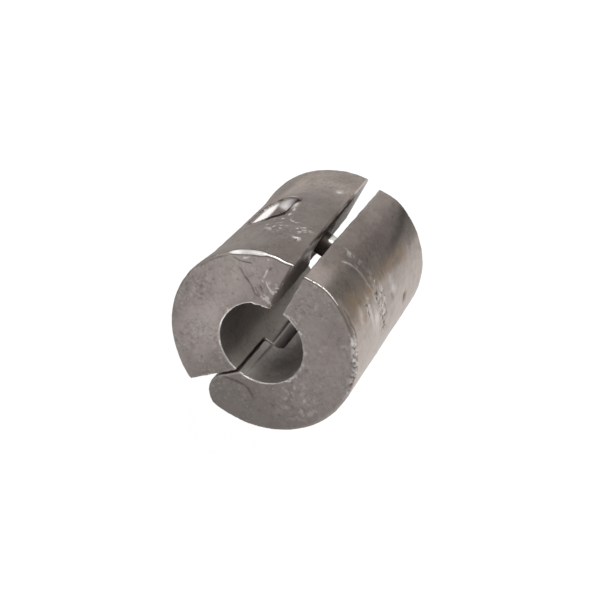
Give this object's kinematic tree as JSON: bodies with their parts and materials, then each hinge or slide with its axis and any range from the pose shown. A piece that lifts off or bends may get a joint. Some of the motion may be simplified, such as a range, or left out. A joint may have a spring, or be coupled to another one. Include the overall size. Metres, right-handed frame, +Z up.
{
  "type": "keepnet weight",
  "caption": "Split round lead weight whose hinged jaws close round the ring of a keepnet, with a through bore, an open slot and a steel locating peg.",
  "frame": {"origin": "middle of the bore, on its axis", "axes": "+Y along the bore from the front end to the back end, +Z up through the open slot, +X towards the right jaw"},
  "size_m": [0.036, 0.041, 0.036],
  "materials": {
    "lead": "dull satin cast lead with burrs and flow marks",
    "steel": "plain drawn rod"
  },
  "bodies": {
    "right_jaw": {"right_jaw": "lead", "hinge_pin": "steel", "locating_peg": "steel"},
    "left_jaw": {"left_jaw": "lead"}
  },
  "joints": [
    {"name": "jaw_hinge", "type": "hinge", "parent": "right_jaw", "child": "left_jaw", "pos_m": [0.0005, 0, -0.01384], "axis": [0, -1, 0], "range_deg": [0, 125]}
  ]
}
